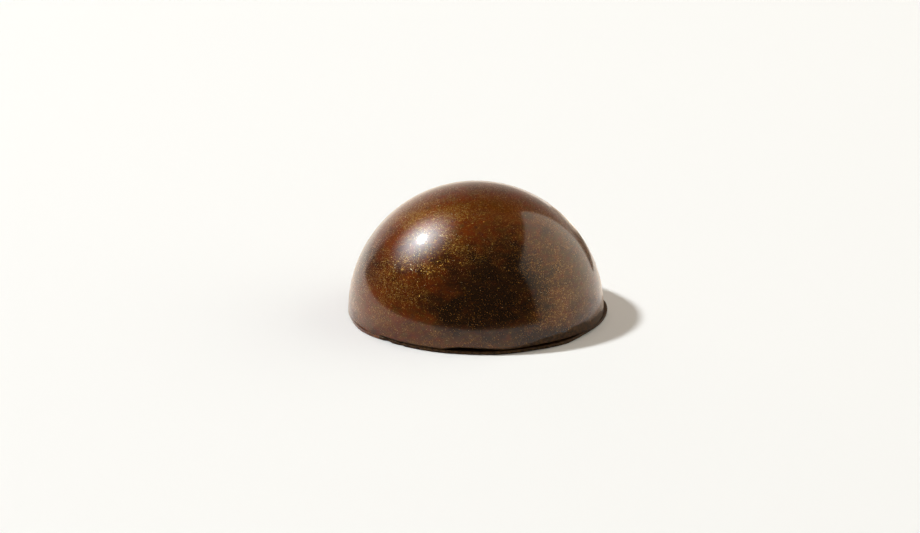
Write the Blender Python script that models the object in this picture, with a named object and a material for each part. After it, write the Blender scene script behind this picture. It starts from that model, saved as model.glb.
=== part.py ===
"""A half-dome chocolate praline, as it comes out of its mould, standing on its flat base with the dome up.

Metres, +Z up. The dome's axis is the Z axis and the flat base lies in the plane z = 0. The side with the
open stretches of seam faces -Y. Angles go round the axis from +X towards +Y, in degrees.
"""

import math

import bmesh
import bpy
from mathutils import Vector

MM = 0.001

# The dome is half a sphere. Under it is the foot: the thin rim of chocolate left where the base was closed.
DOME_RADIUS = 15.0 * MM
DOME_CENTRE_HEIGHT = 0.40 * MM
FOOT_HEIGHT = 0.40 * MM
FOOT_LOWER_ROUND = 0.16 * MM
FOOT_UPPER_ROUND = 0.08 * MM

# A hairline seam parts the foot from the dome's lower edge.
SEAM_HEIGHT = 0.10 * MM
SEAM_DEPTH = 0.12 * MM
DOME_EDGE_ROUND = 0.06 * MM

# At the front the seam stands open in two stretches: where each starts, is widest and ends, and how much
# higher it is there than the hairline. The opening is a V in section, cut in by so many times its height.
OPENINGS = (
    (-105.0, -96.0, -75.0, 0.34 * MM),
    (-80.0, -58.0, -26.0, 0.22 * MM),
)
OPENING_SLOPE = 2.2

# On the left the foot and the dome have run together: the seam is only a trace, and the dome flares out to
# the foot.
SEALED_MIDDLE = -178.0
SEALED_HALF_WIDTH = 42.0
SEALED_FADE = 5.0
SEALED_GROOVE = 0.08
SEALED_LOWER_ROUND = 0.04 * MM
FLARE_HEIGHT = 1.6 * MM

# How far the foot stands out past the dome: each swell has a middle, a half-width in degrees and a reach.
FOOT_SWELLS = (
    (10.0, 32.0, 0.54 * MM),
    (-30.0, 16.0, -0.20 * MM),
    (-47.0, 8.0, 0.10 * MM),
    (-63.0, 8.0, -0.10 * MM),
    (-81.0, 8.0, 0.07 * MM),
    (-125.0, 2.0, -0.12 * MM),
    (-133.0, 3.0, -0.20 * MM),
    (-150.0, 20.0, 0.20 * MM),
    (98.0, 18.0, -0.14 * MM),
    (140.0, 16.0, 0.12 * MM),
)
RIPPLE_REACH = 0.012 * MM
RIPPLE_TURNS = (7, 11)

# Steps of the mesh: round the axis, up the dome, and round each small edge.
SEGMENTS = 144
DOME_STEPS = 21
EDGE_STEPS = 2

# Points nearer together than this are one point, and faces that meet more sharply than this show a crease.
WELD_DISTANCE = 0.001 * MM
SHARP_ANGLE = math.radians(40.0)

# A clear gloss over brown chocolate dusted with gold.
CHOCOLATE_COLOUR = (0.090, 0.036, 0.014, 1.0)
CHOCOLATE_ROUGHNESS = 0.25
CHOCOLATE_COAT = 1.0


def swell(angle, middle, half_width):
    """A smooth hump: 1 at its middle, 0 beyond its half-width. Angles are in degrees."""
    away = abs((angle - middle + 180.0) % 360.0 - 180.0) / half_width
    return math.cos(away * math.pi / 2.0) ** 2 if away < 1.0 else 0.0


def foot_reach(angle):
    """How far the foot stands out past the dome at this angle. Below 0 it lies back under the dome."""
    ripple = sum(math.sin(turns * math.radians(angle) + turns) for turns in RIPPLE_TURNS)
    humps = sum(reach * swell(angle, middle, width) for middle, width, reach in FOOT_SWELLS)
    return humps + RIPPLE_REACH * ripple


def seam_opening(angle):
    """How much higher than a hairline the seam stands open at this angle."""
    opening = 0.0
    for start, widest, end, height in OPENINGS:
        if start < angle < end:
            share = (angle - start) / (widest - start) if angle < widest else (end - angle) / (end - widest)
            opening = max(opening, height * math.sin(share * math.pi / 2.0))
    return opening


def sealed(angle):
    """1 where the foot and the dome have run together, 0 where the seam shows."""
    away = abs((angle - SEALED_MIDDLE + 180.0) % 360.0 - 180.0)
    return min(max((SEALED_HALF_WIDTH - away) / SEALED_FADE, 0.0), 1.0)


def rounded_edge(centre, radius, start, end):
    """Points (r, z) of an arc round a small edge, from one direction to another in degrees."""
    directions = [math.radians(start + (end - start) * i / EDGE_STEPS) for i in range(EDGE_STEPS + 1)]
    return [(centre[0] + radius * math.cos(d), centre[1] + radius * math.sin(d)) for d in directions]


def outline(angle):
    """Half of the section at this angle, as (r, z): out along the base, up the foot, over the dome."""
    foot_radius = DOME_RADIUS + foot_reach(angle)
    opening = seam_opening(angle)
    groove = 1.0 - (1.0 - SEALED_GROOVE) * sealed(angle)
    seam_radius = min(foot_radius, DOME_RADIUS) - SEAM_DEPTH * groove - OPENING_SLOPE * opening
    dome_edge = FOOT_HEIGHT + SEAM_HEIGHT * groove + opening
    upper_round = FOOT_UPPER_ROUND * groove
    edge_round = DOME_EDGE_ROUND * groove

    lower_round = FOOT_LOWER_ROUND + (SEALED_LOWER_ROUND - FOOT_LOWER_ROUND) * sealed(angle)
    foot = rounded_edge((foot_radius - lower_round, lower_round), lower_round, -90.0, 0.0)
    foot += rounded_edge((foot_radius - upper_round, FOOT_HEIGHT - upper_round), upper_round, 0.0, 90.0)
    foot.append((seam_radius, FOOT_HEIGHT))

    start = math.asin((dome_edge + edge_round - DOME_CENTRE_HEIGHT) / DOME_RADIUS)
    edge_centre = (DOME_RADIUS * math.cos(start) - edge_round, dome_edge + edge_round)
    dome = rounded_edge(edge_centre, edge_round, -90.0, 0.0)[:-1]
    for step in range(DOME_STEPS + 1):
        rise = start + (math.pi / 2.0 - start) * step / DOME_STEPS
        dome.append((DOME_RADIUS * math.cos(rise), DOME_CENTRE_HEIGHT + DOME_RADIUS * math.sin(rise)))
    flare = sealed(angle) * max(foot_reach(angle), 0.0)
    dome = [(radius + flare * max(1.0 - z / FLARE_HEIGHT, 0.0) ** 2, z) for radius, z in dome]
    return [(0.0, 0.0)] + foot + dome


def clear_scene():
    for obj in list(bpy.data.objects):
        bpy.data.objects.remove(obj, do_unlink=True)


def praline_mesh():
    """The outline spun round the axis, then each point set out by the outline at its own angle."""
    shape = bmesh.new()
    place_in_outline = shape.verts.layers.int.new("place_in_outline")
    points = []
    for place, (radius, height) in enumerate(outline(0.0)):
        point = shape.verts.new((radius, 0.0, height))
        point[place_in_outline] = place
        points.append(point)
    edges = [shape.edges.new(pair) for pair in zip(points, points[1:])]
    bmesh.ops.spin(
        shape,
        geom=points + edges,
        cent=Vector((0.0, 0.0, 0.0)),
        axis=Vector((0.0, 0.0, 1.0)),
        angle=2.0 * math.pi,
        steps=SEGMENTS,
        use_merge=True,
    )
    bmesh.ops.remove_doubles(shape, verts=shape.verts, dist=WELD_DISTANCE)
    for point in shape.verts:
        turn = math.atan2(point.co.y, point.co.x)
        radius, height = outline(math.degrees(turn))[point[place_in_outline]]
        point.co = (radius * math.cos(turn), radius * math.sin(turn), height)
    bmesh.ops.recalc_face_normals(shape, faces=shape.faces)
    shape.verts.layers.int.remove(place_in_outline)
    mesh = bpy.data.meshes.new("praline")
    shape.to_mesh(mesh)
    shape.free()
    return mesh


def chocolate_material():
    material = bpy.data.materials.new("chocolate")
    material.use_nodes = True
    shader = material.node_tree.nodes["Principled BSDF"]
    shader.inputs["Base Color"].default_value = CHOCOLATE_COLOUR
    shader.inputs["Roughness"].default_value = CHOCOLATE_ROUGHNESS
    shader.inputs["Metallic"].default_value = 0.0
    shader.inputs["Coat Weight"].default_value = CHOCOLATE_COAT
    return material


def build_praline():
    praline = bpy.data.objects.new("praline", praline_mesh())
    bpy.context.scene.collection.objects.link(praline)
    praline.data.materials.append(chocolate_material())
    praline.data.set_sharp_from_angle(angle=SHARP_ANGLE)
    return praline


clear_scene()
build_praline()
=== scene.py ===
"""Looks of the chocolate praline: a dome of dusted chocolate, gold flakes, a pale table and soft light.

Everything is in metres in the CAD frame: the dome's axis is Z and the base is z = 0. Angles on the praline
are in degrees round from +X. Azimuths on the stage go round from +Y, towards +X.
"""

import math
import random

import bmesh
import bpy
import numpy as np
from mathutils import Matrix, Vector, noise


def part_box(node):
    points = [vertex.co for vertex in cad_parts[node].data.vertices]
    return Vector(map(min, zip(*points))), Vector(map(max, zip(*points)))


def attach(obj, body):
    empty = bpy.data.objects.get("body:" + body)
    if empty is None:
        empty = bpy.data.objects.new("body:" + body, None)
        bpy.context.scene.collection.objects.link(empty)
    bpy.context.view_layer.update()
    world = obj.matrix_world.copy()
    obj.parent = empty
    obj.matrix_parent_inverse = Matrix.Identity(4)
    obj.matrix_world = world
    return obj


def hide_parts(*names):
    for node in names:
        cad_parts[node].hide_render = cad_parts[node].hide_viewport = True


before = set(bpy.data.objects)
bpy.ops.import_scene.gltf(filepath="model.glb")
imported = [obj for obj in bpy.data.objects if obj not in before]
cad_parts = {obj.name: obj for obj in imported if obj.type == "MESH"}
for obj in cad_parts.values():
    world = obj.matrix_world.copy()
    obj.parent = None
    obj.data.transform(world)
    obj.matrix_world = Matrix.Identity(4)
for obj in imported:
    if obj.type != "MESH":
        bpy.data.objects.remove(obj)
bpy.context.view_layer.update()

MM = 0.001

# ---------------------------------------------------------------- the shape, as in the CAD model
PRALINE_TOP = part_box("praline")[1].z
DOME_CENTRE_HEIGHT = 0.40 * MM
DOME_RADIUS = PRALINE_TOP - DOME_CENTRE_HEIGHT
FOOT_HEIGHT = 0.40 * MM
FOOT_LOWER_ROUND = 0.16 * MM
FOOT_UPPER_ROUND = 0.08 * MM
SEAM_HEIGHT = 0.10 * MM
SEAM_DEPTH = 0.12 * MM
DOME_EDGE_ROUND = 0.06 * MM

# Where the seam stands open: each stretch's start, widest place and end in degrees, and its height.
OPENINGS = (
    (-105.0, -96.0, -75.0, 0.34 * MM),
    (-80.0, -58.0, -26.0, 0.22 * MM),
)
OPENING_SLOPE = 2.2

# Where the foot and the dome have run together.
SEALED_MIDDLE = -178.0
SEALED_HALF_WIDTH = 42.0
SEALED_FADE = 5.0
SEALED_GROOVE = 0.08
SEALED_LOWER_ROUND = 0.04 * MM
FLARE_HEIGHT = 1.6 * MM

# The band above the foot that takes the bare chocolate. It is undusted chocolate, and in part painted shade:
# darker low on the right, where the dome mirrors its own shadow. Each ripple has its size and its turns
# round the praline.
BAND_MIDDLE = -30.0
BAND_HALF_WIDTH = 55.0
BAND_HEIGHT = 1.0 * MM
BAND_LEAST = 0.05 * MM
BAND_RIPPLES = ((0.12, 17.0), (0.08, 41.0))

# How the foot stands out or lies back: the middle and half-width of each swell in degrees, and its reach.
FOOT_SWELLS = (
    (10.0, 32.0, 0.54 * MM),
    (-30.0, 16.0, -0.20 * MM),
    (-47.0, 8.0, 0.10 * MM),
    (-63.0, 8.0, -0.10 * MM),
    (-81.0, 8.0, 0.07 * MM),
    (-125.0, 2.0, -0.12 * MM),
    (-133.0, 3.0, -0.20 * MM),
    (-150.0, 20.0, 0.20 * MM),
    (98.0, 18.0, -0.14 * MM),
    (140.0, 16.0, 0.12 * MM),
)
RIPPLE_REACH = 0.012 * MM
RIPPLE_TURNS = (7, 11)

# Steps of the fine mesh.
SEGMENTS = 600
DOME_STEPS = 86
BAND_STEPS = 4
EDGE_STEPS = 3
UNDERSIDE_STEPS = 20
SHARP_ANGLE = math.radians(40.0)

# The underside is scraped flat: shallow streaks along X, which only go into the chocolate. Each layer of
# them has its share, how much finer it is along X and along Y, and its place in the noise.
SCRAPE_EDGE = 13.6 * MM
SCRAPE_DEPTH = 0.045 * MM
SCRAPE_LENGTH = 9.0 * MM
SCRAPE_WIDTH = 0.9 * MM
SCRAPE_FADE = 4.0
SCRAPE_LAYERS = (
    (1.0, 1.0, 1.0, 0.0),
    (0.5, 2.0, 3.0, 7.0),
)

# The surface laid out flat in a UV map: the dome as a disc, and the underside as a small disc in a
# corner. Each disc has its middle and its radius.
DOME_DISC = (0.5, 0.5, 0.495)
UNDERSIDE_DISC = (0.915, 0.915, 0.080)


def swell(angle, middle, half_width):
    """A smooth hump: 1 at its middle, 0 beyond its half-width. Angles are in degrees."""
    away = abs((angle - middle + 180.0) % 360.0 - 180.0) / half_width
    return math.cos(away * math.pi / 2.0) ** 2 if away < 1.0 else 0.0


def foot_reach(angle):
    """How far the foot stands out past the dome at this angle. Below 0 it lies back under the dome."""
    ripple = sum(math.sin(turns * math.radians(angle) + turns) for turns in RIPPLE_TURNS)
    humps = sum(reach * swell(angle, middle, width) for middle, width, reach in FOOT_SWELLS)
    return humps + RIPPLE_REACH * ripple


def seam_opening(angle):
    """How much higher than a hairline the seam stands open at this angle."""
    opening = 0.0
    for start, widest, end, height in OPENINGS:
        if start < angle < end:
            share = (angle - start) / (widest - start) if angle < widest else (end - angle) / (end - widest)
            opening = max(opening, height * math.sin(share * math.pi / 2.0))
    return opening


def sealed(angle):
    """1 where the foot and the dome have run together, 0 where the seam shows."""
    away = abs((angle - SEALED_MIDDLE + 180.0) % 360.0 - 180.0)
    return min(max((SEALED_HALF_WIDTH - away) / SEALED_FADE, 0.0), 1.0)


def band_height(angle):
    """How far the bare chocolate of the foot, partly painted shade, reaches up the dome at this angle."""
    ripple = 1.0 + sum(size * math.sin(math.radians(angle) * turns) for size, turns in BAND_RIPPLES)
    return BAND_LEAST + BAND_HEIGHT * swell(angle, BAND_MIDDLE, BAND_HALF_WIDTH) * ripple


def rounded_edge(centre, radius, start, end):
    """Points (r, z) of an arc round a small edge, from one direction to another in degrees."""
    directions = [math.radians(start + (end - start) * i / EDGE_STEPS) for i in range(EDGE_STEPS + 1)]
    return [(centre[0] + radius * math.cos(d), centre[1] + radius * math.sin(d)) for d in directions]


def scrape(radius, angle):
    """How far the scraped underside lies above z = 0 at this place."""
    x = radius * math.cos(math.radians(angle))
    y = radius * math.sin(math.radians(angle))
    streak = 0.0
    for share, finer_x, finer_y, level in SCRAPE_LAYERS:
        place = Vector((finer_x * x / SCRAPE_LENGTH, finer_y * y / SCRAPE_WIDTH, level))
        streak += share * noise.noise(place)
    fade = min(max(1.0 - radius / SCRAPE_EDGE, 0.0) * SCRAPE_FADE, 1.0)
    return SCRAPE_DEPTH * fade * max(streak, 0.0)


def outline(angle):
    """Half of the section at this angle, as (r, z), in three runs: underside, foot and seam, and dome."""
    foot_radius = DOME_RADIUS + foot_reach(angle)
    opening = seam_opening(angle)
    groove = 1.0 - (1.0 - SEALED_GROOVE) * sealed(angle)
    seam_radius = min(foot_radius, DOME_RADIUS) - SEAM_DEPTH * groove - OPENING_SLOPE * opening
    dome_edge = FOOT_HEIGHT + SEAM_HEIGHT * groove + opening
    upper_round = FOOT_UPPER_ROUND * groove
    edge_round = DOME_EDGE_ROUND * groove

    lower_round = FOOT_LOWER_ROUND + (SEALED_LOWER_ROUND - FOOT_LOWER_ROUND) * sealed(angle)
    flat_radius = foot_radius - lower_round
    underside = []
    for step in range(1, UNDERSIDE_STEPS):
        radius = flat_radius * step / UNDERSIDE_STEPS
        underside.append((radius, scrape(radius, angle)))
    foot = rounded_edge((flat_radius, lower_round), lower_round, -90.0, 0.0)
    foot += rounded_edge((foot_radius - upper_round, FOOT_HEIGHT - upper_round), upper_round, 0.0, 90.0)
    foot.append((seam_radius, FOOT_HEIGHT))

    start = math.asin((dome_edge + edge_round - DOME_CENTRE_HEIGHT) / DOME_RADIUS)
    edge_centre = (DOME_RADIUS * math.cos(start) - edge_round, dome_edge + edge_round)
    dome = rounded_edge(edge_centre, edge_round, -90.0, 0.0)[:-1]
    middle = start + band_height(angle) / DOME_RADIUS
    rises = [start + (middle - start) * step / BAND_STEPS for step in range(BAND_STEPS)]
    rises += [middle + (math.pi / 2.0 - middle) * step / DOME_STEPS for step in range(DOME_STEPS)]
    for rise in rises:
        dome.append((DOME_RADIUS * math.cos(rise), DOME_CENTRE_HEIGHT + DOME_RADIUS * math.sin(rise)))
    flare = sealed(angle) * max(foot_reach(angle), 0.0)
    dome = [(radius + flare * max(1.0 - z / FLARE_HEIGHT, 0.0) ** 2, z) for radius, z in dome]
    return underside, foot, dome


def patch_list():
    """The patches seen from the front, and others of the same kind scattered over the far side."""
    chance = random.Random(BACK_PATCH_SEED)
    patches = list(DUST_PATCHES)
    for _ in range(BACK_PATCHES):
        angle = chance.uniform(*BACK_PATCH_ANGLES)
        rise = math.asin(chance.uniform(*BACK_PATCH_LEVELS))
        width = chance.uniform(*BACK_PATCH_WIDTHS) / math.cos(rise)
        height = chance.uniform(*BACK_PATCH_HEIGHTS)
        dust = chance.uniform(*BACK_PATCH_DUST)
        warmth = chance.uniform(*BACK_PATCH_WARMTH)
        patches.append((angle, math.degrees(rise), width, height, dust, warmth))
    return patches


def patch_fields(points):
    """The pushes on the dust, the warmth and the olive hue at each point, from -1 to 1."""
    rise = np.degrees(np.arcsin(np.clip((points[:, 2] - DOME_CENTRE_HEIGHT) / DOME_RADIUS, -1.0, 1.0)))
    angle = np.degrees(np.arctan2(points[:, 1], points[:, 0]))
    fields = np.zeros((3, len(points)))
    for middle, level, half_width, half_height, *pushes in patch_list():
        across = ((angle - middle + 180.0) % 360.0 - 180.0) / half_width
        up = (rise - level) / half_height
        spot = np.exp(-across * across - up * up)
        fields += np.outer((pushes + [0.0])[:3], spot)
    return np.clip(fields, -1.0, 1.0)


def disc_place(disc, share, turn):
    """A place on one of the flat discs, at a share of its radius from its middle."""
    middle_x, middle_y, radius = disc
    return middle_x + radius * share * math.cos(turn), middle_y + radius * share * math.sin(turn)


def praline_mesh():
    """The section set out at every angle. Material 0 is the dusted dome. Material 1 is the bare foot, the
    underside and the band above the foot, which is partly painted shade.
    """
    turns = [2.0 * math.pi * step / SEGMENTS for step in range(SEGMENTS)]
    points, shares = [], []
    for turn in turns:
        underside, foot, dome = outline((math.degrees(turn) + 180.0) % 360.0 - 180.0)
        section = underside + foot + dome + [(0.0, PRALINE_TOP)]
        points += [(radius * math.cos(turn), radius * math.sin(turn), z) for radius, z in section[:-1]]
        lengths = np.hypot(*np.diff(section[len(underside):], axis=0).T)
        below_top = np.cumsum(lengths[::-1])[::-1] / lengths.sum()
        shares.append([step / UNDERSIDE_STEPS for step in range(1, UNDERSIDE_STEPS)] + below_top.tolist())
    flat_count, foot_count, count = len(underside), len(foot), len(section) - 1
    bottom, top = len(points), len(points) + 1
    points += [(0.0, 0.0, 0.0), (0.0, 0.0, PRALINE_TOP)]

    faces, bare_and_shade_faces, places = [], [], []
    for step, turn in enumerate(turns):
        following = (step + 1) % SEGMENTS
        angle = (math.degrees(turn) + 180.0) % 360.0 - 180.0
        # Painted shade in part: where the seam shows, the bare material also covers the band up the dome. It
        # is darker where the dome mirrors its own shadow.
        bare_and_shade_rows = flat_count
        if sealed(angle) <= 0.5:
            bare_and_shade_rows += foot_count + EDGE_STEPS + BAND_STEPS
        for place in range(-1, count):
            disc = UNDERSIDE_DISC if place < flat_count else DOME_DISC
            corners = [(step, place), (following, place), (following, place + 1), (step, place + 1)]
            if place == -1:
                corners = [(step, -1), (following, 0), (step, 0)]
            elif place == count - 1:
                corners = [(step, place), (following, place), (step, count)]
            face = []
            for column, row in corners:
                at = turns[column]
                if row == -1:
                    face.append(bottom)
                    share = 0.0
                elif row == count:
                    face.append(top)
                    share = 0.0
                else:
                    face.append(column * count + row)
                    share = 1.0 if disc is UNDERSIDE_DISC and row == flat_count else shares[column][row]
                places.append(disc_place(disc, share, at))
            faces.append(face)
            bare_and_shade_faces.append(1 if place < bare_and_shade_rows else 0)
    mesh = bpy.data.meshes.new("praline_chocolate")
    mesh.from_pydata(points, [], faces)
    layout = mesh.uv_layers.new(name="OFBake")
    layout.data.foreach_set("uv", np.array(places, np.float32).ravel())
    mesh.polygons.foreach_set("material_index", bare_and_shade_faces)
    for name, values in zip(("dust", "warmth", "olive"), patch_fields(np.array(points))):
        mesh.attributes.new(name, "FLOAT", "POINT").data.foreach_set("value", values.astype(np.float32))
    mesh.shade_smooth()
    mesh.set_sharp_from_angle(angle=SHARP_ANGLE)
    return mesh


# ---------------------------------------------------------------- the chocolate and its gold dust
# A clear gloss over the chocolate and its fine grains of gold. The density of the grains goes from where the
# dust is thin to where it is thick.
COAT_ROUGHNESS = 0.115
COAT_IOR = 1.44
CHOCOLATE_DARK = (0.022, 0.0075, 0.0010)
CHOCOLATE_RED = (0.150, 0.0245, 0.0006)
CHOCOLATE_PLUM = (0.075, 0.0165, 0.0085)
CHOCOLATE_GOLD = (0.130, 0.0340, 0.0012)
CHOCOLATE_OLIVE = (0.105, 0.0440, 0.0050)
GOLD_DEEP = (0.20, 0.066, 0.006)
GOLD_PALE = (0.70, 0.36, 0.08)
GOLD_PALE_RARITY = 2.6
SHEEN_WEIGHT = 1.0
SHEEN_ROUGHNESS = 0.22
SHEEN_TINT = (1.0, 0.80, 0.62)
BODY_METAL = 0.35
BODY_ROUGHNESS = 0.38
FLAKE_ROUGHNESS = 0.36
FLAKE_SIZE = 0.050 * MM
FLAKE_TILT = 0.34
FLAKE_DENSITY = (0.03, 0.29)
PATCH_FLATNESS = 1.8
GOLD_SHARE = 0.5
PLUM_SHARE = 0.7

# The mottling. Each pattern has a size, a detail and roughness, the range of the noise that it is stretched
# from, and how strongly the patches below push it. The shifts, in metres, set the patterns apart.
PATCH_SIZE = 2.2 * MM
PATCH_NOISE = (4.0, 0.6)
PATCH_RANGE = (0.40, 0.64)
PATCH_PUSH = 0.21
CLUSTER_SIZE = 0.34 * MM
CLUSTER_RANGE = (0.34, 0.66)
HUE_SIZE = 1.1 * MM
HUE_NOISE = (3.0, 0.6)
HUE_RANGE = (0.42, 0.80)
HUE_PUSH = 0.22
PLUM_SIZE = 0.7 * MM
PLUM_RANGE = (0.50, 0.72)
WARMTH_NOISE = (4.0, 0.65)
WARMTH_RANGE = (0.10, 0.82)
WARMTH_PUSH = 0.36
NEAR_SHIFT = (0.31, 0.17, 0.05)
FAR_SHIFT = (0.11, 0.43, 0.27)

# The foot, the seam's walls and the underside have no dust on them. The same dull colours also cover the
# band above the foot, where they are partly painted shade: darker low on the right, where the dome mirrors
# its own shadow.
BARE_AND_SHADE_DARK = (0.022, 0.0100, 0.0035)
BARE_AND_SHADE_BROWN = (0.088, 0.0420, 0.0155)
BARE_MOTTLE = 0.35 * MM
BARE_MOTTLE_NOISE = (3.0, 0.6)
BARE_MOTTLE_RANGE = (0.35, 0.65)
BARE_ROUGHNESS = (0.38, 0.60)
BARE_COAT = 0.03
BARE_SPECULAR = 0.1
BARE_GRAIN = 0.09 * MM
BARE_RELIEF = 0.004 * MM

# Where the dust lies thick or thin and the chocolate shows warm, dark or olive. A few rows paint light and
# shade;
# they are marked where they stand. Each row has the angle and the rise of a patch's middle and its
# half-widths both ways, in degrees. Then come the pushes on the dust and on the warmth and, in some rows,
# the push on the olive hue.
DUST_PATCHES = (
    (-75.0, 70.0, 40.0, 9.0, 0.7, 0.8),
    (-160.0, 58.0, 22.0, 14.0, 0.3, 0.7),
    (-120.0, 63.0, 14.0, 6.0, 0.4, 0.4),
    (-147.0, 27.0, 8.0, 8.0, 0.6, 0.3),
    (-131.0, 33.0, 9.0, 5.0, 0.6, 0.2),
    (-115.0, 35.0, 8.0, 5.0, 0.6, 0.2),
    (-132.0, 24.0, 7.0, 3.0, 0.5, 0.2),
    (-123.0, 19.0, 8.0, 4.0, 0.5, 0.2),
    (-96.0, 46.0, 12.0, 7.0, 0.3, 0.2),
    (-58.0, 36.0, 14.0, 2.5, 0.8, 0.0),
    (-51.0, 21.0, 12.0, 7.0, 0.5, 0.0),
    (-58.0, 11.0, 14.0, 5.0, 0.6, 0.0),
    (-32.0, 55.5, 9.0, 3.0, 0.9, 0.3),
    (-20.0, 51.0, 5.0, 4.0, 0.8, 0.3),
    (-75.0, 8.0, 18.0, 3.0, 0.2, -0.1),
    # Painted shade: low on the right, just above the foot, the dust is taken off and the chocolate darkened
    # where the dome mirrors its own shadow.
    (-48.0, 4.0, 26.0, 4.0, -1.0, -1.0),
    (-107.0, 57.0, 7.0, 4.0, -0.8, 0.4),
    (-90.0, 55.0, 8.0, 4.0, -0.8, 0.4),
    (-127.0, 29.0, 3.5, 3.0, -0.8, 0.6),
    (-109.0, 27.0, 6.0, 4.0, -0.8, 0.6),
    (-115.0, 12.0, 9.0, 4.0, -0.6, 0.5),
    (-84.0, 26.0, 23.0, 14.0, -1.0, -1.0),
    (-72.0, 14.0, 14.0, 8.0, -0.6, -0.4),
    (-66.0, 44.0, 7.0, 12.0, -0.3, -0.7),
    (-64.0, 30.0, 9.0, 12.0, -0.2, -0.3),
    (-86.0, 42.0, 22.0, 9.0, 0.1, -0.5),
    (-96.0, 15.0, 18.0, 7.0, -1.0, -1.0),
    (-152.0, 40.0, 9.0, 6.0, -0.8, 0.6),
    (-45.0, 50.0, 6.0, 4.0, -0.8, 0.6),
    (-48.0, 40.0, 6.0, 3.0, -0.6, 0.2),
    (-25.0, 23.0, 12.0, 12.0, -0.5, 0.2),
    (-150.0, 11.0, 24.0, 9.0, 0.1, 0.9, 0.45),
    (-42.0, 34.0, 34.0, 26.0, 0.0, 0.25, 1.0),
    (-30.0, 12.0, 26.0, 12.0, 0.0, 0.15, 0.8),
    (-90.0, 6.0, 34.0, 7.0, 0.1, 0.35, 0.8),
    (-145.0, 35.0, 26.0, 18.0, -0.1, -0.2, -0.7),
    # Painted light, with the chocolate's own warm tone: the top is made warmer and brighter where the light
    # falls on it.
    (-75.0, 72.0, 60.0, 12.0, 0.1, 0.7, 0.0),
    # Painted highlight, with some real dust: warmer, brighter chocolate just above the highlight, as part of
    # its halo.
    (-150.0, 62.0, 36.0, 9.0, 0.4, 0.9, 0.1),
    (-160.0, 72.0, 60.0, 14.0, 0.0, 0.6, 0.0),
)
BACK_PATCHES = 36
BACK_PATCH_SEED = 11
BACK_PATCH_ANGLES = (-5.0, 195.0)
BACK_PATCH_LEVELS = (0.05, 0.95)
BACK_PATCH_WIDTHS = (5.0, 14.0)
BACK_PATCH_HEIGHTS = (3.0, 9.0)
BACK_PATCH_DUST = (-0.8, 0.8)
BACK_PATCH_WARMTH = (-0.7, 0.8)

# The larger flakes of gold, which lie on the dust: how many, how wide, how far they lean and stand off the
# chocolate, and the drifts they lie in. A place is taken by chance, more often where the dust lies thick and
# in a drift. The golds go from deep to pale, each with the running total of the shares, its colour and its
# roughness.
FLAKE_COUNT = 9500
FLAKE_SEED = 23
FLAKE_TRIES = 90000
FLAKE_CHANCE = 0.12
FLAKE_DUST_CHANCE = 0.19
FLAKE_DRIFT_CHANCE = 0.36
FLAKE_LOWEST = 0.06
FLAKE_WIDTHS = (0.036 * MM, 0.086 * MM)
FLAKE_CORNERS = 5
FLAKE_CORNER_REACH = (0.6, 1.0)
FLAKE_LEAN = 0.30
FLAKE_LIFT = 0.004 * MM
FLAKE_DRIFT = 1.1 * MM
FLAKE_GOLDS = (
    (0.50, (0.40, 0.135, 0.020), 0.36),
    (0.85, (0.62, 0.270, 0.070), 0.33),
    (1.00, (0.84, 0.540, 0.290), 0.32),
)


def colour(values):
    return (*values, 1.0)


def placed(name, data):
    """A new object, put in the scene."""
    obj = bpy.data.objects.new(name, data)
    bpy.context.scene.collection.objects.link(obj)
    return obj


def new_material(name):
    """A new material and its shader."""
    material = bpy.data.materials.new(name)
    material.use_nodes = True
    return material, material.node_tree.nodes["Principled BSDF"]


class Nodes:
    """Short calls for building one material's node tree."""

    def __init__(self, material):
        self.tree = material.node_tree

    def add(self, kind, settings=None, **links):
        """A new node, with its settings, and its inputs by name."""
        node = self.tree.nodes.new(kind)
        for name, value in (settings or {}).items():
            setattr(node, name, value)
        for name, value in links.items():
            self.feed(node.inputs[name], value)
        return node

    def feed(self, socket, value):
        """Links a socket to this one, or sets a plain value on it."""
        if isinstance(value, bpy.types.NodeSocket):
            self.tree.links.new(value, socket)
        else:
            socket.default_value = value

    def maths(self, operation, first, second=0.0):
        node = self.add("ShaderNodeMath", {"operation": operation})
        self.feed(node.inputs[0], first)
        self.feed(node.inputs[1], second)
        return node.outputs["Value"]

    def vector(self, operation, first, second=None, scale=None):
        node = self.add("ShaderNodeVectorMath", {"operation": operation})
        self.feed(node.inputs[0], first)
        if second is not None:
            self.feed(node.inputs[1], second)
        if scale is not None:
            self.feed(node.inputs["Scale"], scale)
        return node.outputs["Vector"]

    def mix(self, factor, first, second):
        """Mixes two colours, which are the node's inputs 6 and 7 and its output 2."""
        node = self.add("ShaderNodeMix", {"data_type": "RGBA", "clamp_factor": True})
        self.feed(node.inputs["Factor"], factor)
        self.feed(node.inputs[6], first)
        self.feed(node.inputs[7], second)
        return node.outputs[2]

    def mix_value(self, factor, first, second):
        """Goes from the first number to the second as the factor goes from 0 to 1."""
        spread = self.maths("MULTIPLY", factor, second - first)
        return self.maths("ADD", spread, first)

    def noise(self, place, size, detail=2.0, roughness=0.5):
        node = self.add("ShaderNodeTexNoise", {"noise_dimensions": "3D"}, Vector=place, Scale=1.0 / size)
        node.inputs["Detail"].default_value = detail
        node.inputs["Roughness"].default_value = roughness
        return node.outputs["Fac"]

    def pushed_noise(self, place, size, texture, push, strength):
        """A noise that is raised or lowered where the push isn't 0."""
        return self.maths("ADD", self.noise(place, size, *texture), self.maths("MULTIPLY", push, strength))

    def stretch(self, value, low, high):
        """Maps low..high to 0..1, smoothly and clamped."""
        node = self.add("ShaderNodeMapRange", {"interpolation_type": "SMOOTHSTEP"}, Value=value)
        node.inputs["From Min"].default_value = low
        node.inputs["From Max"].default_value = high
        return node.outputs["Result"]


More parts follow.
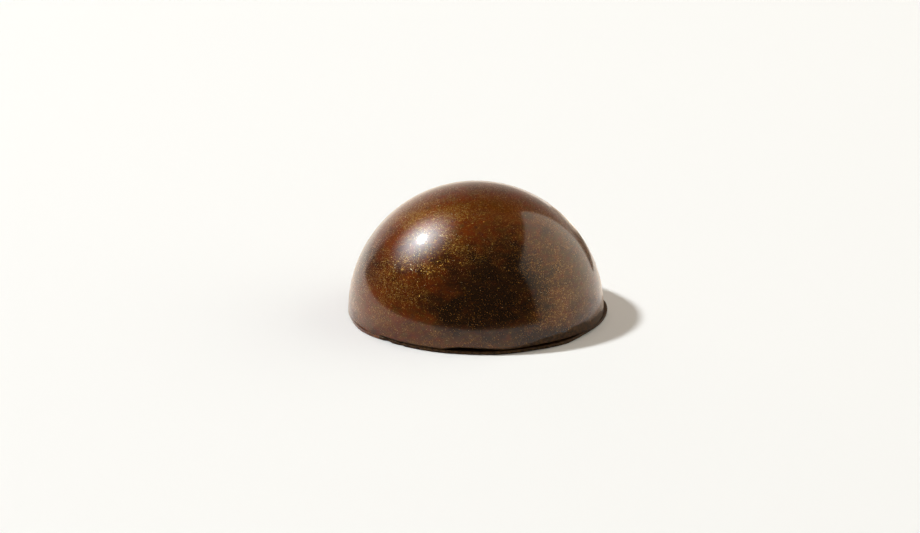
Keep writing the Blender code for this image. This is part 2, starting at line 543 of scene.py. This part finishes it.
def chocolate_material():
    """Mottled chocolate with fine gold grains, each leaning its own way, under a clear hard gloss."""
    material, shader = new_material("dusted_chocolate")
    n = Nodes(material)
    place = n.add("ShaderNodeTexCoord").outputs["Object"]
    flat_place = n.vector("MULTIPLY", place, (1.0, 1.0, PATCH_FLATNESS))
    near_place = n.vector("ADD", flat_place, NEAR_SHIFT)
    far_place = n.vector("ADD", flat_place, FAR_SHIFT)
    dust_push = n.add("ShaderNodeAttribute", {"attribute_name": "dust"}).outputs["Fac"]
    warmth_push = n.add("ShaderNodeAttribute", {"attribute_name": "warmth"}).outputs["Fac"]
    hue_push = n.add("ShaderNodeAttribute", {"attribute_name": "olive"}).outputs["Fac"]

    cells = n.add("ShaderNodeTexVoronoi", {"feature": "F1"}, Vector=place, Scale=1.0 / FLAKE_SIZE)
    chance = n.add("ShaderNodeSeparateColor", Color=cells.outputs["Color"])
    cell = n.vector("SCALE", cells.outputs["Position"], scale=1.0 / FLAKE_SIZE)
    lean = n.add("ShaderNodeTexWhiteNoise", {"noise_dimensions": "3D"}, Vector=cell)
    thickness = n.pushed_noise(flat_place, PATCH_SIZE, PATCH_NOISE, dust_push, PATCH_PUSH)
    patches = n.stretch(thickness, *PATCH_RANGE)
    clusters = n.stretch(n.noise(near_place, CLUSTER_SIZE), *CLUSTER_RANGE)
    density = n.mix_value(n.maths("MULTIPLY", patches, clusters), *FLAKE_DENSITY)
    flake = n.maths("LESS_THAN", chance.outputs["Red"], density)

    hue = n.pushed_noise(near_place, HUE_SIZE, HUE_NOISE, hue_push, HUE_PUSH)
    warm = n.mix(n.stretch(hue, *HUE_RANGE), colour(CHOCOLATE_RED), colour(CHOCOLATE_OLIVE))
    plum = n.stretch(n.noise(far_place, PLUM_SIZE, *HUE_NOISE), *PLUM_RANGE)
    warm = n.mix(n.maths("MULTIPLY", plum, PLUM_SHARE), warm, colour(CHOCOLATE_PLUM))
    warm = n.mix(n.maths("MULTIPLY", patches, GOLD_SHARE), warm, colour(CHOCOLATE_GOLD))
    warmth = n.pushed_noise(far_place, PATCH_SIZE, WARMTH_NOISE, warmth_push, WARMTH_PUSH)
    body = n.mix(n.stretch(warmth, *WARMTH_RANGE), colour(CHOCOLATE_DARK), warm)
    paleness = n.maths("POWER", chance.outputs["Green"], GOLD_PALE_RARITY)
    gold = n.mix(paleness, colour(GOLD_DEEP), colour(GOLD_PALE))
    n.feed(shader.inputs["Base Color"], n.mix(flake, body, gold))
    n.feed(shader.inputs["Metallic"], n.mix_value(flake, BODY_METAL, 1.0))
    n.feed(shader.inputs["Roughness"], n.mix_value(flake, BODY_ROUGHNESS, FLAKE_ROUGHNESS))

    spread = n.vector("SUBTRACT", lean.outputs["Color"], (0.5, 0.5, 0.5))
    spread = n.vector("SCALE", spread, scale=n.maths("MULTIPLY", flake, FLAKE_TILT * 2.0))
    normal = n.add("ShaderNodeNewGeometry").outputs["Normal"]
    tilted = n.vector("NORMALIZE", n.vector("ADD", normal, spread))
    n.feed(shader.inputs["Normal"], tilted)

    shader.inputs["Specular IOR Level"].default_value = 0.0
    shader.inputs["Sheen Weight"].default_value = SHEEN_WEIGHT
    shader.inputs["Sheen Roughness"].default_value = SHEEN_ROUGHNESS
    shader.inputs["Sheen Tint"].default_value = colour(SHEEN_TINT)
    shader.inputs["Coat Weight"].default_value = 1.0
    shader.inputs["Coat Roughness"].default_value = COAT_ROUGHNESS
    shader.inputs["Coat IOR"].default_value = COAT_IOR
    n.feed(shader.inputs["Coat Normal"], normal)
    return material


def bare_and_shade_material():
    """Dull undusted chocolate with a fine grain. On the band above the foot it is partly painted shade."""
    material, shader = new_material("bare_chocolate_and_painted_shade")
    n = Nodes(material)
    place = n.add("ShaderNodeTexCoord").outputs["Object"]
    mottle = n.stretch(n.noise(place, BARE_MOTTLE, *BARE_MOTTLE_NOISE), *BARE_MOTTLE_RANGE)
    n.feed(shader.inputs["Base Color"], n.mix(mottle, colour(BARE_AND_SHADE_DARK), colour(BARE_AND_SHADE_BROWN)))
    n.feed(shader.inputs["Roughness"], n.mix_value(mottle, *BARE_ROUGHNESS))
    grain = n.noise(place, BARE_GRAIN)
    bump = n.add("ShaderNodeBump", Strength=1.0, Distance=BARE_RELIEF, Height=grain)
    n.feed(shader.inputs["Normal"], bump.outputs["Normal"])
    shader.inputs["Specular IOR Level"].default_value = BARE_SPECULAR
    shader.inputs["Coat Weight"].default_value = BARE_COAT
    shader.inputs["Coat Roughness"].default_value = COAT_ROUGHNESS
    return material


def flake_places():
    """Points on the dome for the flakes, most of them where the dust lies thick."""
    chance = random.Random(FLAKE_SEED)
    turns = np.array([chance.uniform(-math.pi, math.pi) for _ in range(FLAKE_TRIES)])
    rises = np.array([chance.uniform(FLAKE_LOWEST, 1.0) for _ in range(FLAKE_TRIES)])
    flat = np.sqrt(1.0 - rises * rises)
    ways = np.stack((flat * np.cos(turns), flat * np.sin(turns), rises), axis=1)
    pushes = patch_fields(ways * DOME_RADIUS + (0.0, 0.0, DOME_CENTRE_HEIGHT))[0]
    places = []
    for way, push in zip(ways, pushes):
        drift = noise.noise(Vector(way) * (DOME_RADIUS / FLAKE_DRIFT))
        if chance.random() < FLAKE_CHANCE + FLAKE_DUST_CHANCE * push + FLAKE_DRIFT_CHANCE * drift:
            places.append(Vector(way))
    return places[:FLAKE_COUNT]


def flake_mesh():
    """Thin leaves of gold with uneven corners, each leaning its own way."""
    chance = random.Random(FLAKE_SEED + 1)
    centre = Vector((0.0, 0.0, DOME_CENTRE_HEIGHT))
    points, faces, golds = [], [], []
    for out in flake_places():
        lean = Vector([chance.uniform(-FLAKE_LEAN, FLAKE_LEAN) for _ in range(3)])
        upright = (out + lean).normalized()
        across = upright.orthogonal().normalized()
        along = upright.cross(across)
        width = chance.uniform(*FLAKE_WIDTHS)
        turn = chance.uniform(0.0, 2.0 * math.pi)
        face = []
        for corner in range(FLAKE_CORNERS):
            at = turn + 2.0 * math.pi * corner / FLAKE_CORNERS
            reach = width / 2.0 * chance.uniform(*FLAKE_CORNER_REACH)
            face.append(len(points))
            spot = across * math.cos(at) * reach + along * math.sin(at) * reach
            points.append(centre + out * (DOME_RADIUS + FLAKE_LIFT) + spot)
        pick = chance.random()
        faces.append(face)
        golds.append(next(index for index, (share, _, _) in enumerate(FLAKE_GOLDS) if pick <= share))
    mesh = bpy.data.meshes.new("gold_flakes")
    mesh.from_pydata(points, [], faces)
    mesh.polygons.foreach_set("material_index", golds)
    return mesh


def flake_material(name, gold, roughness):
    material, shader = new_material(name)
    shader.inputs["Base Color"].default_value = colour(gold)
    shader.inputs["Metallic"].default_value = 1.0
    shader.inputs["Roughness"].default_value = roughness
    return material


def build_flakes():
    flakes = placed("gold_flakes", flake_mesh())
    for index, (_, gold, roughness) in enumerate(FLAKE_GOLDS):
        flakes.data.materials.append(flake_material(f"gold_{index + 1}", gold, roughness))
    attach(flakes, "root")


def build_praline():
    praline = placed("praline_chocolate", praline_mesh())
    praline.data.materials.append(chocolate_material())
    praline.data.materials.append(bare_and_shade_material())
    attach(praline, "root")
    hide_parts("praline")


# ---------------------------------------------------------------- the table and the light
UP = Vector((0.0, 0.0, 1.0))
ALONG_X = Vector((1.0, 0.0, 0.0))

FLOOR_SIDE = 8.0
FLOOR_DROP = 0.01 * MM
FLOOR_COLOUR = (0.90, 0.90, 0.90)
FLOOR_ROUGHNESS = 0.5

# Two glowing cards. The panel's span, to the left and right of its azimuth, and its height are shares of its
# distance. The stops along a card's sides are (share of the side, strength).
PANEL_AZIMUTH = 80.0
PANEL_DISTANCE = 0.75
PANEL_SPAN = (1.13, 0.95)
PANEL_HEIGHT = 1.43
PANEL_GLOW = (1.23, 1.22, 1.05)
PANEL_ACROSS = ((0.0, 1.0), (0.625, 0.98), (0.8125, 0.75), (1.0, 0.40))
PANEL_UP = ((0.0, 1.0), (1.0, 1.0))
BACKDROP_DISTANCE = 2.2
BACKDROP_SPAN = (-2.3, 1.35)
BACKDROP_HEIGHT = 3.6
BACKDROP_GLOW = (1.06, 0.89, 0.77)
BACKDROP_ACROSS = ((0.0, 0.85), (0.25, 1.0), (0.45, 0.95), (0.63, 0.62), (0.80, 0.38), (1.0, 0.32))
BACKDROP_UP = (
    (0.0, 1.0), (0.10, 0.95), (0.18, 0.66), (0.25, 0.52), (0.33, 0.40),
    (0.43, 0.26), (0.62, 0.08), (0.80, 0.0), (1.0, 0.0),
)

# The sun and the fill light the praline without showing in its gloss. The glint, with a soft glow behind it,
# only shows in the gloss.
LIGHT_DISTANCE = 1.8
LIGHT_SIZE = 0.17
SUN_AZIMUTH = -83.8
SUN_ELEVATION = 52.2
SUN_POWER = 26.7
SUN_COLOUR = (0.94, 0.985, 1.0)
GLINT_AZIMUTH = -73.6
GLINT_ELEVATION = 49.6
GLINT_POWER = 12.0
GLINT_COLOUR = (0.80, 0.92, 1.0)
GLOW_AZIMUTH = -73.6
GLOW_ELEVATION = 49.2
GLOW_BEHIND = 0.02
GLOW_PEAK = 18.0
GLOW_WIDTH = 0.31
GLOW_RADIUS = 0.95
GLOW_CORNERS = 48
GLOW_COLOUR = (0.66, 0.90, 1.0)
FILL_AZIMUTH = 0.0
FILL_ELEVATION = 85.0
FILL_SIZE = 1.5
FILL_POWER = 8.0
FILL_COLOUR = (1.0, 0.83, 0.70)
WORLD_COLOUR = (1.0, 0.93, 0.86)
WORLD_STRENGTH = 0.07

# What only shows in the gloss: a dark neighbour behind to the right, and a brighter stretch of table.
DARK_DOME_PLACE = (30.2 * MM, 50.4 * MM, 0.0)
DARK_DOME_COLOUR = (0.020, 0.010, 0.005)
DARK_DOME_ROUGHNESS = 0.4
DARK_DOME_SEGMENTS = 64
TABLE_GLOW_SPAN = (17.0 * MM, 2.0)
TABLE_GLOW_TURN = (-118.0, 70.0)
TABLE_GLOW_STEPS = 48
TABLE_GLOW_HEIGHT = 0.2 * MM
TABLE_GLOW_COLOUR = (1.30, 1.21, 1.08)


def direction(azimuth, elevation):
    """A unit vector: azimuth 0 is +Y, 90 is +X."""
    a = math.radians(azimuth)
    e = math.radians(elevation)
    return Vector((math.sin(a) * math.cos(e), math.cos(a) * math.cos(e), math.sin(e)))


def point_at_praline(obj, towards, distance):
    """Puts a lamp or sheet out this way and turns its face to the middle."""
    obj.location = towards * distance
    obj.rotation_mode = "QUATERNION"
    obj.rotation_quaternion = (-towards).to_track_quat("-Z", "Y")


def only_in_gloss(obj):
    obj.visible_camera = False
    obj.visible_diffuse = False
    obj.visible_shadow = False


def emission_material(name, glow):
    material = bpy.data.materials.new(name)
    material.use_nodes = True
    nodes = material.node_tree.nodes
    nodes.clear()
    emission = nodes.new("ShaderNodeEmission")
    emission.inputs["Color"].default_value = colour(glow)
    emission.inputs["Strength"].default_value = 1.0
    output = nodes.new("ShaderNodeOutputMaterial")
    material.node_tree.links.new(emission.outputs["Emission"], output.inputs["Surface"])
    return material


def rectangle_mesh(name, width, height, material):
    """A flat rectangle about its own middle, with its own X across and its own Y up."""
    mesh = bpy.data.meshes.new(name)
    x = width / 2.0
    y = height / 2.0
    mesh.from_pydata([(-x, -y, 0.0), (x, -y, 0.0), (x, y, 0.0), (-x, y, 0.0)], [], [(0, 1, 2, 3)])
    mesh.materials.append(material)
    return mesh


def ramp_along(nodes, coordinate, size, stops):
    """A strength that changes along one side of a card, from stops of (share of the side, strength)."""
    place = nodes.add("ShaderNodeTexCoord").outputs["Object"]
    split = nodes.add("ShaderNodeSeparateXYZ", Vector=place)
    share = nodes.add("ShaderNodeMapRange", Value=split.outputs[coordinate])
    share.inputs["From Min"].default_value = -size / 2.0
    share.inputs["From Max"].default_value = size / 2.0
    node = nodes.add("ShaderNodeValToRGB", Fac=share.outputs["Result"])
    node.color_ramp.interpolation = "LINEAR"
    first, last = node.color_ramp.elements
    first.position = stops[0][0]
    first.color = colour((stops[0][1],) * 3)
    last.position = stops[-1][0]
    last.color = colour((stops[-1][1],) * 3)
    for position, strength in stops[1:-1]:
        node.color_ramp.elements.new(position).color = colour((strength,) * 3)
    return node.outputs["Color"]


def glowing_card(name, centre, across, size, glow, across_stops, up_stops):
    """An upright card that lights the scene, with a glow that varies across and up."""
    width, height = size
    material = emission_material(name, glow)
    n = Nodes(material)
    across_strength = ramp_along(n, "X", width, across_stops)
    up_strength = ramp_along(n, "Y", height, up_stops)
    strength = n.maths("MULTIPLY", across_strength, up_strength)
    n.feed(material.node_tree.nodes["Emission"].inputs["Strength"], strength)
    obj = placed(name, rectangle_mesh(name, width, height, material))
    turn = Matrix((across, UP, across.cross(UP))).transposed().to_4x4()
    obj.matrix_world = Matrix.Translation(centre) @ turn


def build_table():
    material, shader = new_material("table")
    shader.inputs["Base Color"].default_value = colour(FLOOR_COLOUR)
    shader.inputs["Roughness"].default_value = FLOOR_ROUGHNESS
    shader.inputs["Specular IOR Level"].default_value = 0.0
    table = placed("table", rectangle_mesh("table", FLOOR_SIDE, FLOOR_SIDE, material))
    table.location = -UP * FLOOR_DROP


def build_side_panel():
    away = direction(PANEL_AZIMUTH, 0.0)
    across = direction(PANEL_AZIMUTH + 90.0, 0.0)
    left, right = PANEL_SPAN
    width = PANEL_DISTANCE * (left + right)
    height = PANEL_DISTANCE * PANEL_HEIGHT
    centre = away * PANEL_DISTANCE + across * PANEL_DISTANCE * (right - left) / 2.0 + UP * height / 2.0
    glowing_card("side_panel", centre, across, (width, height), PANEL_GLOW, PANEL_ACROSS, PANEL_UP)


def build_dark_dome():
    """A dark dome as big as the praline. It stands behind to the right and only shows in the gloss."""
    shape = bmesh.new()
    segments = DARK_DOME_SEGMENTS
    bmesh.ops.create_uvsphere(shape, u_segments=segments, v_segments=segments // 2, radius=DOME_RADIUS)
    mesh = bpy.data.meshes.new("dark_dome")
    shape.to_mesh(mesh)
    shape.free()
    mesh.shade_smooth()
    material, shader = new_material("dark_dome")
    shader.inputs["Base Color"].default_value = colour(DARK_DOME_COLOUR)
    shader.inputs["Roughness"].default_value = DARK_DOME_ROUGHNESS
    mesh.materials.append(material)
    dome = placed("dark_dome", mesh)
    dome.location = DARK_DOME_PLACE
    only_in_gloss(dome)


def build_table_glow():
    """Part of a ring just over the table. It makes the table look brighter in grazing gloss."""
    inner, outer = TABLE_GLOW_SPAN
    start, end = TABLE_GLOW_TURN
    points, faces = [], []
    for step in range(TABLE_GLOW_STEPS + 1):
        away = direction(start + (end - start) * step / TABLE_GLOW_STEPS, 0.0)
        points += [away * inner + UP * TABLE_GLOW_HEIGHT, away * outer + UP * TABLE_GLOW_HEIGHT]
    for step in range(TABLE_GLOW_STEPS):
        faces.append((2 * step, 2 * step + 1, 2 * step + 3, 2 * step + 2))
    mesh = bpy.data.meshes.new("table_glow")
    mesh.from_pydata(points, [], faces)
    mesh.materials.append(emission_material("table_glow", TABLE_GLOW_COLOUR))
    ring = placed("table_glow", mesh)
    only_in_gloss(ring)


def build_backdrop():
    west, east = BACKDROP_SPAN
    centre = Vector(((west + east) / 2.0, BACKDROP_DISTANCE, BACKDROP_HEIGHT / 2.0))
    size = (east - west, BACKDROP_HEIGHT)
    glowing_card("backdrop", centre, ALONG_X, size, BACKDROP_GLOW, BACKDROP_ACROSS, BACKDROP_UP)


def lamp(name, azimuth, elevation, size, power, light):
    data = bpy.data.lights.new(name, "AREA")
    data.shape = "DISK"
    data.size = size
    data.energy = power
    data.color = light
    obj = placed(name, data)
    point_at_praline(obj, direction(azimuth, elevation), LIGHT_DISTANCE)
    return obj


def build_glow():
    """A round sheet behind the glint, brightest in its middle, which gives the highlight its soft edge."""
    mesh = bpy.data.meshes.new("glow")
    turns = [2.0 * math.pi * step / GLOW_CORNERS for step in range(GLOW_CORNERS)]
    rim = [(GLOW_RADIUS * math.cos(turn), GLOW_RADIUS * math.sin(turn), 0.0) for turn in turns]
    mesh.from_pydata(rim, [], [list(range(GLOW_CORNERS))])
    material = emission_material("glow", GLOW_COLOUR)
    n = Nodes(material)
    middle_distance = n.add("ShaderNodeVectorMath", {"operation": "LENGTH"})
    n.feed(middle_distance.inputs[0], n.add("ShaderNodeTexCoord").outputs["Object"])
    away = n.maths("DIVIDE", middle_distance.outputs["Value"], GLOW_WIDTH)
    fall = n.maths("EXPONENT", n.maths("MULTIPLY", n.maths("MULTIPLY", away, away), -0.5))
    n.feed(material.node_tree.nodes["Emission"].inputs["Strength"], n.maths("MULTIPLY", fall, GLOW_PEAK))
    mesh.materials.append(material)
    glow = placed("glow", mesh)
    point_at_praline(glow, direction(GLOW_AZIMUTH, GLOW_ELEVATION), LIGHT_DISTANCE + GLOW_BEHIND)
    glow.visible_diffuse = False
    glow.visible_camera = False


def build_lights():
    sun = lamp("sun", SUN_AZIMUTH, SUN_ELEVATION, LIGHT_SIZE, SUN_POWER, SUN_COLOUR)
    sun.visible_glossy = False
    glint = lamp("glint", GLINT_AZIMUTH, GLINT_ELEVATION, LIGHT_SIZE, GLINT_POWER, GLINT_COLOUR)
    glint.visible_diffuse = False
    build_glow()
    fill = lamp("fill", FILL_AZIMUTH, FILL_ELEVATION, FILL_SIZE, FILL_POWER, FILL_COLOUR)
    fill.visible_glossy = False

    world = bpy.data.worlds.new("room")
    bpy.context.scene.world = world
    world.use_nodes = True
    background = world.node_tree.nodes["Background"]
    background.inputs["Color"].default_value = colour(WORLD_COLOUR)
    background.inputs["Strength"].default_value = WORLD_STRENGTH


# ---------------------------------------------------------------- the camera
CAMERA_AZIMUTH = 180.0
CAMERA_ELEVATION = 18.9
CAMERA_ROLL = 0.7
CAMERA_DISTANCE = 36.3 * DOME_RADIUS
CAMERA_AIM = Vector((-0.1294 * DOME_RADIUS, 1.0797 * DOME_RADIUS, 0.0))
CAMERA_LENS = 176.1
SENSOR_WIDTH = 36.0
CAMERA_CLIP = (0.01, 20.0)


def build_camera():
    data = bpy.data.cameras.new("camera")
    data.lens = CAMERA_LENS
    data.sensor_width = SENSOR_WIDTH
    data.clip_start, data.clip_end = CAMERA_CLIP
    camera = placed("camera", data)
    back = direction(CAMERA_AZIMUTH, CAMERA_ELEVATION)
    facing = (-back).to_track_quat("-Z", "Y").to_matrix().to_4x4()
    roll = Matrix.Rotation(math.radians(CAMERA_ROLL), 4, "Z")
    camera.matrix_world = Matrix.Translation(CAMERA_AIM + back * CAMERA_DISTANCE) @ facing @ roll
    bpy.context.scene.camera = camera


build_praline()
build_flakes()
build_table()
build_side_panel()
build_dark_dome()
build_table_glow()
build_backdrop()
build_lights()
build_camera()

bpy.context.scene.view_settings.view_transform = "Standard"


def corners(box):
    """A box's two corners as plain lists of numbers."""
    return [[float(value) for value in corner] for corner in box]
